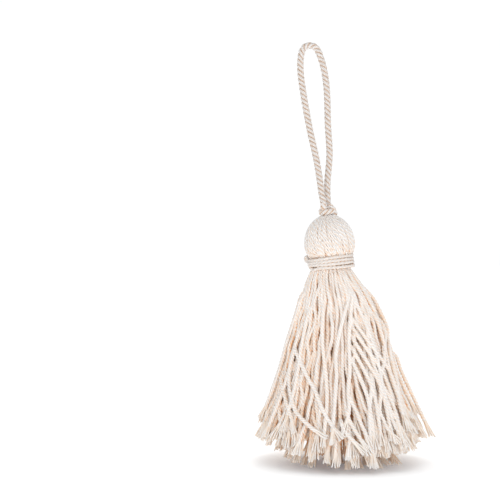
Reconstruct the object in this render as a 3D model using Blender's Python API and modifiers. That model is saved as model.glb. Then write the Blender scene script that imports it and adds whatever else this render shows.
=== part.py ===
"""A cotton tassel on a hanging loop, standing on its cut yarn ends. Units are metres, +Z is up.

The pieces are the hank of yarn that forms the head and the skirt, the binding wound round its
neck with the knot that ends it, and the twisted cord of the hanging loop with its own knot.
The whole tassel leans a little to -X, and the origin lies on the floor under the skirt's middle.
"""

import math
import random

import bmesh
import bpy
from mathutils import Euler, Vector

MM = 0.001

# Driving sizes
CORD_DIAMETER = 3.0 * MM
YARN_DIAMETER = 1.55 * MM
GAP = 0.3 * MM
TOLERANCE = 0.01 * MM
LEAN = math.radians(4.0)

# The binding: turns of yarn round the neck
BINDING_TURNS = 4
BINDING_BOTTOM = 83.4 * MM
BINDING_RADIUS = 9.3 * MM
BINDING_PITCH = YARN_DIAMETER + 0.1 * MM
BINDING_TILT = math.radians(1.5)
CROSSOVER = 1.0 / 6.0
BINDING_HEIGHT = (BINDING_TURNS - 1) * BINDING_PITCH + YARN_DIAMETER
NECK_RADIUS = BINDING_RADIUS - YARN_DIAMETER / 2 - 1.3 * GAP

# The backing: the head's ball and the fused roots of the skirt, as (height, radius) down the outside
BACKING_PROFILE = (
    (107.2 * MM, 0.0 * MM),
    (107.2 * MM, 2.6 * MM),
    (106.3 * MM, 4.9 * MM),
    (104.4 * MM, 7.3 * MM),
    (101.8 * MM, 9.3 * MM),
    (98.6 * MM, 10.6 * MM),
    (95.2 * MM, 11.1 * MM),
    (92.9 * MM, 10.8 * MM),
    (91.3 * MM, 9.9 * MM),
    (90.5 * MM, NECK_RADIUS),
    (82.9 * MM, NECK_RADIUS),
    (82.0 * MM, 9.1 * MM),
    (79.6 * MM, 11.2 * MM),
    (76.6 * MM, 13.0 * MM),
    (73.6 * MM, 14.1 * MM),
    (73.6 * MM, 0.0 * MM),
)
RIBS = 36
RIB_DEPTH = 0.5 * MM
RIB_SLANT = math.radians(22.0)
RIB_FADE = 5.0 * MM

# The skirt's outline, as (height, half width, half depth, centre's x)
SKIRT_SECTIONS = (
    (86.0 * MM, 7.6 * MM, 7.4 * MM, -6.2 * MM),
    (79.5 * MM, 11.8 * MM, 11.4 * MM, -5.2 * MM),
    (74.5 * MM, 14.9 * MM, 14.2 * MM, -4.2 * MM),
    (66.0 * MM, 18.4 * MM, 17.2 * MM, -3.1 * MM),
    (52.0 * MM, 23.0 * MM, 21.0 * MM, -2.8 * MM),
    (38.0 * MM, 27.6 * MM, 24.8 * MM, -2.2 * MM),
    (24.0 * MM, 33.6 * MM, 29.8 * MM, -1.2 * MM),
    (12.0 * MM, 39.2 * MM, 34.2 * MM, -0.3 * MM),
    (0.0 * MM, 43.6 * MM, 37.8 * MM, 0.2 * MM),
)
SKIRT_OFFSET = Vector((-0.63 * MM, 0.79 * MM, 0.0))

# Its strands, shown by fewer and stouter ones than the yarns they stand for
STRANDS = 160
STRAND_SIDES = 4
STRAND_REACH = 0.97
STRAND_WIDTHS = (0.75 * MM, 1.35 * MM, 1.7 * MM, 1.9 * MM, 2.1 * MM, 2.7 * MM)
INNER_SHARE = 0.55
INNER_TOP = 75.4 * MM
INNER_STEPS = 4
OUTER_TOP = 79.2 * MM
OUTER_STEPS = 6
ROOT_PULL = 0.16
FLOOR_SHARE = 0.74
RIM_SHARE = 0.95
RIM_FRONT = 2.6 * MM
RIM_SIDE = 12.0 * MM
RIM_UNEVEN = 0.45
WAVE = 0.16
GOLDEN_ANGLE = math.pi * (3.0 - math.sqrt(5.0))
SEED = 27

# The knot that ends the binding, behind its left side
BUMP_RADIUS = 1.35 * MM
BUMP_HEIGHT = 88.2 * MM
BUMP_ANGLE = math.radians(156.0)

# The loop's knot, on top of the head
KNOT_BOTTOM = 107.2 * MM + GAP
KNOT_TOP = 111.6 * MM
KNOT_CORE_RADIUS = 2.9 * MM
KNOT_WRAP_RADIUS = 2.75 * MM
KNOT_WRAP_TILT = math.radians(-9.0)

# The hanging loop's route, from the front leg's end over the top to the rear leg's end
LOOP_ROUTE = (
    (-9.3 * MM, -1.35 * MM, 111.9 * MM),
    (-10.2 * MM, -1.3 * MM, 116.6 * MM),
    (-10.9 * MM, -1.3 * MM, 121.6 * MM),
    (-11.7 * MM, -1.1 * MM, 127.0 * MM),
    (-12.6 * MM, -0.8 * MM, 132.0 * MM),
    (-13.7 * MM, -0.5 * MM, 137.2 * MM),
    (-14.9 * MM, -0.2 * MM, 142.5 * MM),
    (-16.2 * MM, 0.0 * MM, 149.2 * MM),
    (-17.5 * MM, 0.1 * MM, 156.6 * MM),
    (-18.6 * MM, 0.1 * MM, 163.6 * MM),
    (-19.3 * MM, 0.0 * MM, 169.4 * MM),
    (-19.35 * MM, 0.0 * MM, 174.2 * MM),
    (-18.75 * MM, 0.0 * MM, 178.1 * MM),
    (-17.5 * MM, 0.0 * MM, 180.25 * MM),
    (-15.4 * MM, 0.0 * MM, 181.0 * MM),
    (-13.3 * MM, 0.0 * MM, 180.2 * MM),
    (-12.05 * MM, 0.0 * MM, 178.2 * MM),
    (-11.1 * MM, 0.0 * MM, 175.5 * MM),
    (-10.0 * MM, 0.0 * MM, 171.9 * MM),
    (-9.0 * MM, 0.1 * MM, 167.2 * MM),
    (-8.2 * MM, 0.2 * MM, 161.4 * MM),
    (-7.75 * MM, 0.4 * MM, 154.6 * MM),
    (-7.4 * MM, 0.5 * MM, 147.6 * MM),
    (-7.0 * MM, 0.7 * MM, 141.0 * MM),
    (-6.6 * MM, 0.9 * MM, 134.8 * MM),
    (-6.9 * MM, 1.1 * MM, 128.6 * MM),
    (-7.5 * MM, 1.25 * MM, 122.4 * MM),
    (-7.6 * MM, 1.3 * MM, 117.0 * MM),
    (-7.4 * MM, 1.35 * MM, 111.9 * MM),
)
CORD_PLIES = 3
CORD_LAY = 5.9 * MM
CORD_STEP = 0.65 * MM
PLY_POINTS = 3
PLY_GROOVE = 0.17

ROUND_STEPS = 20


def clear_scene():
    """Empty the file of what it opened with."""
    for old in list(bpy.data.objects):
        bpy.data.objects.remove(old, do_unlink=True)


def collection(name):
    """A collection of the scene."""
    made = bpy.data.collections.new(name)
    bpy.context.scene.collection.children.link(made)
    return made


def cotton(name, colour, roughness):
    """A plain cotton finish."""
    made = bpy.data.materials.new(name)
    made.use_nodes = True
    shader = made.node_tree.nodes["Principled BSDF"]
    shader.inputs["Base Color"].default_value = (*colour, 1.0)
    shader.inputs["Roughness"].default_value = roughness
    shader.inputs["Metallic"].default_value = 0.0
    return made


def place(name, data, home, material):
    """Put a piece in its collection with its material on it."""
    piece = bpy.data.objects.new(name, data)
    data.materials.clear()
    data.materials.append(material)
    home.objects.link(piece)
    return piece


def hide_helper(helper):
    """Keep a guide or an operand out of the built pieces."""
    helper.hide_render = True
    helper.display_type = "WIRE"


def on_axis(height):
    """The leaning axis at a distance up it from the floor."""
    return Vector((-math.sin(LEAN) * height, 0.0, math.cos(LEAN) * height))


def eased(share):
    """0 to 1 with a gentle start and end."""
    share = min(1.0, max(0.0, share))
    return share * share * (3.0 - 2.0 * share)


def along_curve(points, share):
    """A point on the smooth curve through points, at a share of its spans."""
    spans = len(points) - 1
    at = min(max(share, 0.0), 1.0) * spans
    span = min(int(at), spans - 1)
    t = at - span
    p1, p2 = points[span], points[span + 1]
    p0 = points[span - 1] if span else p1 * 2 - p2
    p3 = points[span + 2] if span + 2 <= spans else p2 * 2 - p1
    return 0.5 * (
        p1 * 2
        + (p2 - p0) * t
        + (p0 * 2 - p1 * 5 + p2 * 4 - p3) * t * t
        + (p1 * 3 - p0 - p2 * 3 + p3) * t * t * t
    )


def evenly(points, step):
    """Points about a step apart along the smooth curve through points."""
    fine = [along_curve(points, i / 2000) for i in range(2001)]
    run = [0.0]
    for low, high in zip(fine, fine[1:]):
        run.append(run[-1] + (high - low).length)
    count = math.ceil(run[-1] / step)
    made, at = [], 0
    for i in range(count + 1):
        goal = run[-1] * i / count
        while at < 1999 and run[at + 1] < goal:
            at += 1
        t = (goal - run[at]) / (run[at + 1] - run[at])
        made.append(fine[at].lerp(fine[at + 1], t))
    return made, run[-1]


def skirt_section(height):
    """(half width, half depth, centre's x) of the skirt at a height, smooth down the table."""
    rows = SKIRT_SECTIONS
    at = 0
    while at < len(rows) - 2 and height < rows[at + 1][0]:
        at += 1
    above, upper = rows[max(at - 1, 0)], rows[at]
    lower, below = rows[at + 1], rows[min(at + 2, len(rows) - 1)]
    drop = upper[0] - lower[0]
    t = (upper[0] - height) / drop
    section = []
    for a, b, c, d in zip(above[1:], upper[1:], lower[1:], below[1:]):
        leave = (c - a) / (above[0] - lower[0]) * drop
        arrive = (d - b) / (upper[0] - below[0]) * drop
        section.append(
            b * (1.0 + 2.0 * t) * (1.0 - t) ** 2
            + leave * t * (1.0 - t) ** 2
            + c * t * t * (3.0 - 2.0 * t)
            - arrive * t * t * (1.0 - t)
        )
    return section


def strand_layout():
    """(share of the skirt's radius, angle, phase, uneven share) for each strand."""
    rng = random.Random(SEED)
    for i in range(STRANDS):
        yield (
            math.sqrt((i + 1.0) / (STRANDS + 0.5)),
            i * GOLDEN_ANGLE,
            rng.uniform(0.0, 2.0 * math.pi),
            rng.uniform(-1.0, 1.0),
        )


def strand_path(share, angle, phase, uneven):
    """A strand's centre line, from its root inside the backing down to its cut end."""
    outer = eased((share - INNER_SHARE) / (1.0 - INNER_SHARE))
    rim = eased((share - FLOOR_SHARE) / (RIM_SHARE - FLOOR_SHARE))
    rise = RIM_FRONT + (RIM_SIDE - RIM_FRONT) * abs(math.cos(angle)) ** 1.5
    top = INNER_TOP + (OUTER_TOP - INNER_TOP) * outer
    foot = rim * rise * (1.0 + RIM_UNEVEN * uneven)
    steps = OUTER_STEPS if outer > 0.0 else INNER_STEPS
    path = []
    for i in range(steps + 1):
        down = (i / steps) ** 1.3
        height = top + (foot - top) * down
        half_width, half_depth, centre = skirt_section(height)
        spacing = half_width / math.sqrt(STRANDS)
        wave = WAVE * spacing * eased(down * 1.4)
        pull = 1.0 - ROOT_PULL * outer * (1.0 - eased(down * 7.0))
        turn = angle + wave * math.sin(phase + 9.0 * down) / max(half_width * share, spacing)
        reach = STRAND_REACH * share * pull + wave * math.cos(phase + 7.0 * down) / half_width
        across = half_width * reach * math.cos(turn)
        back = half_depth * reach * math.sin(turn)
        path.append((down, SKIRT_OFFSET + Vector((centre + across, back, height))))
    return path


def strand_width(down):
    """The strand's width at a share of its length: thin at its root, frayed at its cut end."""
    at = min(down, 0.9999) * (len(STRAND_WIDTHS) - 1)
    low = int(at)
    return STRAND_WIDTHS[low] + (STRAND_WIDTHS[low + 1] - STRAND_WIDTHS[low]) * (at - low)


def add_strand(bm, path, turn):
    """A strand lofted down level four-sided sections, so that its cut end lies flat."""
    rings = []
    for down, centre in path:
        corner = strand_width(down) / math.sqrt(2.0)
        ring = []
        for side in range(STRAND_SIDES):
            angle = turn + 2.0 * math.pi * side / STRAND_SIDES
            offset = Vector((corner * math.cos(angle), corner * math.sin(angle), 0.0))
            ring.append(bm.verts.new(centre + offset))
        rings.append(ring)
    for above, below in zip(rings, rings[1:]):
        for side in range(STRAND_SIDES):
            bm.faces.new((above[side - 1], above[side], below[side], below[side - 1]))
    bm.faces.new(rings[0])
    bm.faces.new(rings[-1])


def strands_mesh():
    """All the skirt's strands, clear of each other."""
    bm = bmesh.new()
    for share, angle, phase, uneven in strand_layout():
        add_strand(bm, strand_path(share, angle, phase, uneven), angle)
    bmesh.ops.recalc_face_normals(bm, faces=bm.faces)
    mesh = bpy.data.meshes.new("skirt_strands")
    bm.to_mesh(mesh)
    bm.free()
    return mesh


def turned_mesh(name, profile, steps):
    """A profile of (height, radius) turned round Z, as a mesh."""
    outline = bpy.data.meshes.new(name + "_outline")
    points = [(radius, 0.0, height) for height, radius in profile]
    outline.from_pydata(points, [(i, i + 1) for i in range(len(points) - 1)], [])
    helper = bpy.data.objects.new(name + "_outline", outline)
    bpy.context.scene.collection.objects.link(helper)
    screw = helper.modifiers.new("Turn", "SCREW")
    screw.steps = steps
    screw.render_steps = steps
    screw.use_merge_vertices = True
    screw.merge_threshold = 0.00005
    graph = bpy.context.evaluated_depsgraph_get()
    made = bpy.data.meshes.new_from_object(helper.evaluated_get(graph))
    bpy.data.objects.remove(helper, do_unlink=True)
    return made


def raise_ribs(bm):
    """Press grooves between the yarns that run over the head and into the skirt."""
    high, low = BACKING_PROFILE[0][0], BACKING_PROFILE[-1][0]
    for vert in bm.verts:
        radius = math.hypot(vert.co.x, vert.co.y)
        if radius < TOLERANCE:
            continue
        angle = math.atan2(vert.co.y, vert.co.x)
        groove = 0.5 - 0.5 * math.cos(RIBS * angle)
        depth = RIB_DEPTH * min(1.0, radius / RIB_FADE)
        slant = RIB_SLANT * (high - vert.co.z) / (high - low)
        radius -= depth * groove
        vert.co.x = radius * math.cos(angle + slant)
        vert.co.y = radius * math.sin(angle + slant)


def backing_mesh():
    """The head's ball and the skirt's fused roots, ribbed by their yarns."""
    mesh = turned_mesh("backing", BACKING_PROFILE, 2 * RIBS)
    bm = bmesh.new()
    bm.from_mesh(mesh)
    raise_ribs(bm)
    under = BACKING_PROFILE[-1][0]
    level = [f for f in bm.faces if all(abs(v.co.z - under) < TOLERANCE for v in f.verts)]
    bmesh.ops.dissolve_faces(bm, faces=level)
    bmesh.ops.recalc_face_normals(bm, faces=bm.faces)
    bm.to_mesh(mesh)
    bm.free()
    return mesh


def make_hank(home, helpers, material):
    """The yarn hank: head and skirt in one piece, its strands joined at their roots."""
    hank = place("yarn_hank", backing_mesh(), home, material)
    hank.rotation_euler = Euler((0.0, -LEAN, 0.0))
    strands = place("skirt_strands", strands_mesh(), helpers, material)
    hide_helper(strands)
    union = hank.modifiers.new("Strands", "BOOLEAN")
    union.operation = "UNION"
    union.solver = "EXACT"
    union.object = strands
    return hank


def tube(name, points, diameter, home, material):
    """A round yarn down a list of points."""
    curve = bpy.data.curves.new(name, "CURVE")
    curve.dimensions = "3D"
    curve.bevel_depth = diameter / 2
    curve.bevel_resolution = 1
    curve.use_fill_caps = True
    line = curve.splines.new("POLY")
    line.points.add(len(points) - 1)
    for point, at in zip(line.points, points):
        point.co = (*at, 1.0)
    return place(name, curve, home, material)


def make_binding(home, material):
    """The binding: level turns of one yarn round the neck, each crossing to the next behind."""
    level = 1.0 - CROSSOVER
    count = round((BINDING_TURNS - 1.2 * CROSSOVER) * ROUND_STEPS)
    points = []
    for i in range(count + 1):
        turn, share = divmod(i / ROUND_STEPS, 1.0)
        angle = 2.0 * math.pi * share + math.pi / 2.0
        row = turn + eased((share - level) / CROSSOVER)
        points.append(
            Vector((
                BINDING_RADIUS * math.cos(angle),
                BINDING_RADIUS * math.sin(angle),
                BINDING_PITCH * row + (YARN_DIAMETER - BINDING_HEIGHT) / 2,
            ))
        )
    coil = tube("neck_binding", points, YARN_DIAMETER, home, material)
    coil.location = on_axis(BINDING_BOTTOM + BINDING_HEIGHT / 2)
    coil.rotation_euler = Euler((0.0, -LEAN - BINDING_TILT, 0.0))
    return coil


def make_binding_knot(home, material):
    """The small knot that ends the binding."""
    mesh = bpy.data.meshes.new("binding_knot")
    bm = bmesh.new()
    bmesh.ops.create_uvsphere(bm, u_segments=10, v_segments=7, radius=BUMP_RADIUS)
    bm.to_mesh(mesh)
    bm.free()
    knot = place("binding_knot", mesh, home, material)
    away = BINDING_RADIUS + YARN_DIAMETER / 2 + BUMP_RADIUS + GAP
    side = Vector((math.cos(BUMP_ANGLE), math.sin(BUMP_ANGLE), 0.0)) * away
    knot.location = on_axis(BUMP_HEIGHT) + side
    return knot


def make_loop(home, helpers, material):
    """The hanging loop: a three-ply cord, twisted, from the knot over the top and back."""
    section = bpy.data.curves.new("cord_section", "CURVE")
    section.dimensions = "2D"
    outline = section.splines.new("POLY")
    outline.use_cyclic_u = True
    corners = CORD_PLIES * PLY_POINTS
    outline.points.add(corners - 1)
    for i, point in enumerate(outline.points):
        angle = -2.0 * math.pi * i / corners
        groove = 0.5 - 0.5 * math.cos(CORD_PLIES * angle)
        radius = CORD_DIAMETER / 2 * (1.0 - PLY_GROOVE * groove)
        point.co = (radius * math.cos(angle), radius * math.sin(angle), 0.0, 1.0)
    guide = place("cord_section", section, helpers, material)
    hide_helper(guide)

    points, length = evenly([Vector(p) for p in LOOP_ROUTE], CORD_STEP)
    curve = bpy.data.curves.new("hanging_loop", "CURVE")
    curve.dimensions = "3D"
    curve.twist_mode = "MINIMUM"
    curve.bevel_mode = "OBJECT"
    curve.bevel_object = guide
    curve.use_fill_caps = True
    line = curve.splines.new("POLY")
    line.points.add(len(points) - 1)
    for i, (point, at) in enumerate(zip(line.points, points)):
        point.co = (*at, 1.0)
        point.tilt = -2.0 * math.pi * (length * i / (len(points) - 1)) / CORD_LAY
    return place("hanging_loop", curve, home, material)


def make_loop_knot(home, helpers, material):
    """The knot that gathers the loop's legs: a turn of cord round a core, and its tail."""
    middle = (KNOT_BOTTOM + KNOT_TOP) / 2
    mesh = bpy.data.meshes.new("loop_knot")
    bm = bmesh.new()
    bmesh.ops.create_cone(
        bm,
        cap_ends=True,
        segments=16,
        radius1=KNOT_CORE_RADIUS,
        radius2=KNOT_CORE_RADIUS,
        depth=KNOT_TOP - KNOT_BOTTOM,
    )
    bm.to_mesh(mesh)
    bm.free()
    knot = place("loop_knot", mesh, home, material)
    knot.location = on_axis(middle)
    knot.rotation_euler = Euler((0.0, -LEAN, 0.0))

    bpy.ops.mesh.primitive_torus_add(
        major_radius=KNOT_WRAP_RADIUS,
        minor_radius=CORD_DIAMETER / 2,
        major_segments=20,
        minor_segments=8,
        location=on_axis(middle),
        rotation=(0.0, KNOT_WRAP_TILT, 0.0),
    )
    wrap = bpy.context.object
    wrap.name = "knot_wrap"
    hide_helper(wrap)
    for old in list(wrap.users_collection):
        old.objects.unlink(wrap)
    helpers.objects.link(wrap)
    union = knot.modifiers.new("Wrap", "BOOLEAN")
    union.operation = "UNION"
    union.solver = "EXACT"
    union.object = wrap
    return knot


def main():
    """Build the tassel's pieces."""
    clear_scene()
    home = collection("cotton_tassel")
    helpers = collection("helpers")
    yarn = cotton("undyed_yarn", (0.86, 0.78, 0.69), 0.9)
    cord = cotton("twisted_cord", (0.85, 0.77, 0.68), 0.85)
    wound = cotton("binding_yarn", (0.86, 0.79, 0.71), 0.88)
    make_hank(home, helpers, yarn)
    make_binding(home, wound)
    make_binding_knot(home, wound)
    make_loop(home, helpers, cord)
    make_loop_knot(home, helpers, cord)


main()
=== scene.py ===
"""Looks of the cotton tassel: plied yarns with frayed ends, a wound neck, a laid cord loop.

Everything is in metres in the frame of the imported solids: +X right, +Y back, +Z up, with the
cut ends of the skirt resting on z = 0. Each piece follows the sizes of the solid it stands for.
"""

import logging
import math
from dataclasses import dataclass, field
from enum import Enum
from functools import partialmethod
from typing import Sequence

import bmesh
import bpy
import numpy as np
from mathutils import Matrix, Vector


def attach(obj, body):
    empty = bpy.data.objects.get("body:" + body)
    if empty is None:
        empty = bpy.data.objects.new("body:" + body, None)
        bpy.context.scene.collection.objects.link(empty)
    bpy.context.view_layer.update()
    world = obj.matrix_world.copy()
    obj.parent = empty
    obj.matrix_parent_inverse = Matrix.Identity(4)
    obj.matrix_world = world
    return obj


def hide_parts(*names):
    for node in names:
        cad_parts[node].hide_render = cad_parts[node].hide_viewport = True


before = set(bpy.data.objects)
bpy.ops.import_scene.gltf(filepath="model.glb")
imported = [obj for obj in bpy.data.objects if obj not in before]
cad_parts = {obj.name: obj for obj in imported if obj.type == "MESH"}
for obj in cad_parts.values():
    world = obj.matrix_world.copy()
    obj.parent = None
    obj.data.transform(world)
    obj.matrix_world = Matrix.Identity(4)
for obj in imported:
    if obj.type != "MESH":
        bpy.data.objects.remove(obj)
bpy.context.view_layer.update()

LOG = logging.getLogger("tassel")
MM = 0.001
TAU = 2.0 * math.pi
LEAN = math.radians(4.0)
# The phase of a random wave is drawn from 0 up to this
ANY_PHASE = 6.28
Array = np.ndarray
Random = np.random.Generator
Material = bpy.types.Material
Object = bpy.types.Object
Triple = tuple[float, float, float]


class Lay(Enum):
    """Which way the plies of a yarn or cord run round it, as a sign of their turn."""

    S = -1.0
    Z = 1.0


def eased(share: Array) -> Array:
    """Give 0 to 1 with a gentle start and end."""
    share = np.clip(share, 0.0, 1.0)
    return share * share * (3.0 - 2.0 * share)


def unit(vectors: Array) -> Array:
    """Scale vectors, along their last axis, to length 1."""
    return vectors / np.maximum(np.linalg.norm(vectors, axis=-1, keepdims=True), 1e-12)


def smooth_through(points: Sequence[Sequence[float]], count: int) -> Array:
    """Read evenly spaced points off a smooth curve.

    Args:
        points: The curve's own points, in order.
        count: How many points to read, its ends among them.

    Returns:
        A count by 3 array.
    """
    own = np.array(points, dtype=float)
    own = np.vstack([2 * own[0] - own[1], own, 2 * own[-1] - own[-2]])
    spans = len(own) - 3
    at = np.linspace(0.0, spans, 60 * spans + 1)
    low = np.minimum(at.astype(int), spans - 1)
    t = (at - low)[:, None]
    a, b, c, d = own[low], own[low + 1], own[low + 2], own[low + 3]
    fine = 0.5 * (
        2 * b
        + (c - a) * t
        + (2 * a - 5 * b + 4 * c - d) * t**2
        + (3 * b - a - 3 * c + d) * t**3
    )
    run = np.concatenate([[0.0], np.cumsum(np.linalg.norm(np.diff(fine, axis=0), axis=1))])
    even = np.linspace(0.0, run[-1], count)
    return np.stack([np.interp(even, run, fine[:, k]) for k in range(fine.shape[1])], axis=1)


def leaning(points: Array) -> Array:
    """Turn points that were laid out round an upright axis onto the leaning one."""
    turn = np.array(Matrix.Rotation(-LEAN, 3, "Y"))
    return points @ turn.T


class Wire:
    """A shader socket that can be used in a Python expression."""

    def __init__(self, recipe: "Recipe", socket: bpy.types.NodeSocket) -> None:
        """Wrap an output socket of one of the recipe's nodes."""
        self.recipe = recipe
        self.socket = socket

    def maths(self, operation: str, *others: "Wire | float") -> "Wire":
        """Add a Math node with this socket first."""
        inputs = dict(enumerate((self, *others)))
        return self.recipe.node("ShaderNodeMath", {"operation": operation}, inputs)

    __add__ = __radd__ = partialmethod(maths, "ADD")
    __mul__ = __rmul__ = partialmethod(maths, "MULTIPLY")
    __sub__ = partialmethod(maths, "SUBTRACT")
    __pow__ = partialmethod(maths, "POWER")

    def __rsub__(self, other: float) -> "Wire":
        """Subtract this from a number."""
        return self.recipe.node("ShaderNodeMath", {"operation": "SUBTRACT"}, {0: other, 1: self})

    def wave(self) -> "Wire":
        """Give the sine, moved to 0 to 1."""
        return self.maths("SINE") * 0.5 + 0.5

    def ramp(self, low: float, high: float) -> "Wire":
        """Give 0 below low and 1 above high, with a gentle turn between them.

        Args:
            low: The value that gives 0.
            high: The value that gives 1.

        Returns:
            The socket of the eased value.
        """
        settings = {"interpolation_type": "SMOOTHSTEP"}
        inputs = {"Value": self, "From Min": low, "From Max": high}
        return self.recipe.node("ShaderNodeMapRange", settings, inputs)


class Recipe:
    """A material under construction."""

    def __init__(self, name: str) -> None:
        """Start a node material with its output alone.

        Args:
            name: The material's name.
        """
        self.material = bpy.data.materials.new(name)
        self.material.use_nodes = True
        self.tree = self.material.node_tree
        self.tree.nodes.clear()

    def node(
        self,
        kind: str,
        settings: dict | None = None,
        inputs: dict | None = None,
        output: str | int = 0,
    ) -> Wire:
        """Add any node.

        Args:
            kind: The node's type.
            settings: Its own settings, made before its sockets are used.
            inputs: Values or wires for its sockets, by name or number.
            output: The socket that it is used for.

        Returns:
            That socket.
        """
        made = self.tree.nodes.new(kind)
        for key, value in (settings or {}).items():
            setattr(made, key, value)
        for key, value in (inputs or {}).items():
            if isinstance(value, Wire):
                self.tree.links.new(value.socket, made.inputs[key])
            else:
                made.inputs[key].default_value = value
        return Wire(self, made.outputs[output])

    def attribute(self, name: str) -> Wire:
        """Read a number stored on the mesh."""
        return self.node("ShaderNodeAttribute", {"attribute_name": name}, output="Fac")

    def noise(self, place: Wire, scale: float, detail: float) -> Wire:
        """Add a cloudy number between 0 and 1."""
        inputs = {"Vector": place, "Scale": scale, "Detail": detail}
        return self.node("ShaderNodeTexNoise", None, inputs)

    def mixed(self, share: Wire, first: Wire | Triple, second: Triple) -> Wire:
        """Mix two colours.

        Args:
            share: How much of the second there is, from 0 to 1.
            first: The colour at 0.
            second: The colour at 1.

        Returns:
            The mixed colour.
        """
        start = first if isinstance(first, Wire) else (*first, 1.0)
        inputs = {0: share, 6: start, 7: (*second, 1.0)}
        return self.node("ShaderNodeMix", {"data_type": "RGBA"}, inputs, 2)

    def finish(self, inputs: dict) -> Material:
        """Send a surface with these inputs to the output.

        Args:
            inputs: The values or links of the surface's sockets.

        Returns:
            The finished material.
        """
        surface = self.node("ShaderNodeBsdfPrincipled", None, inputs)
        output = self.tree.nodes.new("ShaderNodeOutputMaterial")
        self.tree.links.new(surface.socket, output.inputs["Surface"])
        return self.material


@dataclass(frozen=True)
class CottonFinish:
    """Undyed cotton: cream where it faces the open air, with painted tan shade between the yarns.

    Lit is its colour facing the open air, tan_and_shade the tan of both its own uneven tone and
    painted shade a little way in, and deep the painted shade deep between the yarns. Furrow is the
    painted shade between two plies, blush an even tan tint all over, and spots says how unevenly
    the painted shade shows deep down. Fibres counts the fibre lines round a tube, and relief is
    their height.
    """

    # The textures' scales, per metre
    MOTTLE = 260.0
    STREAK = 420.0
    SPOT = 640.0
    SEED = 95.0
    # The shade and tone at which the colour starts to turn tan, and to the deep painted shade, and
    # has done so
    TO_SHADE = (0.0, 0.62)
    TO_DEEP_SHADE = (0.65, 1.5)
    # Specks of seed husk: their colour, their size in the texture and how much they cover
    FLECK = (0.30, 0.17, 0.10)
    FLECK_SIZE = (0.022, 0.04)
    FLECK_SHARE = 0.55

    name: str
    lit: Triple = (0.920, 0.892, 0.872)
    tan_and_shade: Triple = (0.955, 0.765, 0.610)
    deep: Triple = (1.0, 0.56, 0.28)
    plies: float = 3.0
    furrow: float = 0.32
    spots: float = 0.6
    blush: float = 0.06
    fibres: float = 12.0
    relief: float = 0.05 * MM

    def material(self) -> Material:
        """Build the material; it reads the tone, painted shade and lay stored on the fibres.

        Returns:
            The new material.
        """
        recipe = Recipe(self.name)
        lay = recipe.node("ShaderNodeUVMap", {"uv_map": FibreMesh.LAY_MAP})
        around = recipe.node("ShaderNodeSeparateXYZ", None, {0: lay})
        along = Wire(recipe, around.socket.node.outputs[1])
        place = recipe.node("ShaderNodeTexCoord", output="Object")
        tone, painted_shade = recipe.attribute("tone"), recipe.attribute("painted_shade")

        mottle = recipe.noise(place, self.MOTTLE, 3.0)
        streaks = {"X": around * self.fibres, "Y": along * self.STREAK, "Z": tone * 37.0}
        streak = recipe.noise(recipe.node("ShaderNodeCombineXYZ", None, streaks), 1.0, 2.0)
        # The furrow between plies: painted shade in the colour, and a groove in the bumps
        furrow = (1.0 - (around * (TAU * self.plies) + math.pi / 2.0).wave()) ** 2.0
        spot = recipe.noise(place, self.SPOT, 1.0).ramp(0.38, 0.62)
        # Painted shade from the stored shade, made spotty, and from the ply furrows; the cotton's
        # own tint and random tone are added to it
        shade_and_tone = painted_shade * (1.0 - self.spots + spot * (2.0 * self.spots)) + furrow * self.furrow
        shade_and_tone = shade_and_tone + self.blush + (tone - 0.5) * 0.12
        shade_and_tone = shade_and_tone + (mottle - 0.5) * 0.25 + (streak - 0.5) * 0.25
        pale = recipe.mixed(shade_and_tone.ramp(*self.TO_SHADE), self.lit, self.tan_and_shade)
        body = recipe.mixed(shade_and_tone.ramp(*self.TO_DEEP_SHADE), pale, self.deep)
        seeds = {"Vector": place, "Scale": self.SEED, "Randomness": 1.0}
        cells = recipe.node("ShaderNodeTexVoronoi", {"feature": "F1"}, seeds)
        husk = 1.0 - cells.ramp(*self.FLECK_SIZE)

        strands = (around * (TAU * self.fibres)).wave()
        height = strands * 0.5 + streak * 0.8 + mottle * 0.3 - furrow * 2.0
        relief = {"Strength": 0.65, "Distance": self.relief, "Height": height}
        return recipe.finish(
            {
                "Base Color": recipe.mixed(husk * self.FLECK_SHARE, body, self.FLECK),
                "Roughness": 0.88,
                "Specular IOR Level": 0.12,
                "Sheen Weight": 0.06,
                "Sheen Roughness": 0.6,
                "Sheen Tint": (1.0, 0.96, 0.92, 1.0),
                "Normal": recipe.node("ShaderNodeBump", None, relief),
            }
        )


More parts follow.
